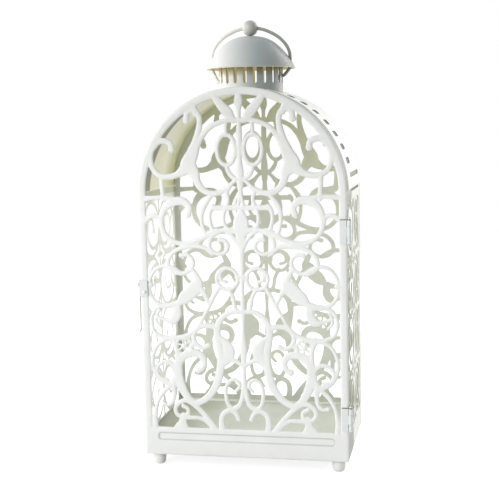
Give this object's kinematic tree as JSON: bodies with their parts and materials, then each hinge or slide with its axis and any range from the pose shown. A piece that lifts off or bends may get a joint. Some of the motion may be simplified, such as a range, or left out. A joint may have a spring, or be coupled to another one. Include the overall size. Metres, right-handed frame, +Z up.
{
  "type": "lantern",
  "caption": "Arched candle lantern with a hinged scrollwork door, scrollwork sides and back, vented collar, domed cap and wire bail.",
  "frame": {"origin": "on the plane under the four feet, centred under the body", "axes": "+Z up, the door faces -Y, its hinges are at +X"},
  "size_m": [0.2121, 0.1359, 0.4419],
  "materials": {
    "white_coat": "satin white powder coat",
    "bare_steel": "plain zinc-plated steel"
  },
  "bodies": {
    "body": {"base_tray": "white_coat", "side_wall_left": "white_coat", "side_wall_right": "white_coat", "vault": "white_coat", "back_panel": "white_coat", "collar": "white_coat", "dome": "white_coat", "finial_ball": "white_coat", "bail": "white_coat", "hinge_body_leaf_upper": "white_coat", "hinge_body_leaf_lower": "white_coat", "foot_front_left": "white_coat", "foot_front_right": "white_coat", "foot_rear_left": "white_coat", "foot_rear_right": "white_coat", "finial_nut": "bare_steel", "hinge_pin_upper": "bare_steel", "hinge_pin_lower": "bare_steel", "latch_stud": "bare_steel", "foot_screw_front_left": "bare_steel", "foot_screw_front_right": "bare_steel", "foot_screw_rear_left": "bare_steel", "foot_screw_rear_right": "bare_steel"},
    "door": {"door_panel": "white_coat", "hinge_door_leaf_upper": "white_coat", "hinge_door_leaf_lower": "white_coat", "latch_angle": "white_coat", "latch_rivet": "bare_steel", "latch_pivot": "bare_steel"},
    "hook": {"latch_hook": "bare_steel"}
  },
  "joints": [
    {"name": "door_hinge", "type": "hinge", "parent": "body", "child": "door", "pos_m": [0.1043, -0.0674, 0.15], "axis": [0, 0, 1], "range_deg": [0, 265]},
    {"name": "hook_pivot", "type": "hinge", "parent": "door", "child": "hook", "pos_m": [-0.1036, -0.0635, 0.184], "axis": [-1, 0, 0], "range_deg": [-60, 266]}
  ]
}
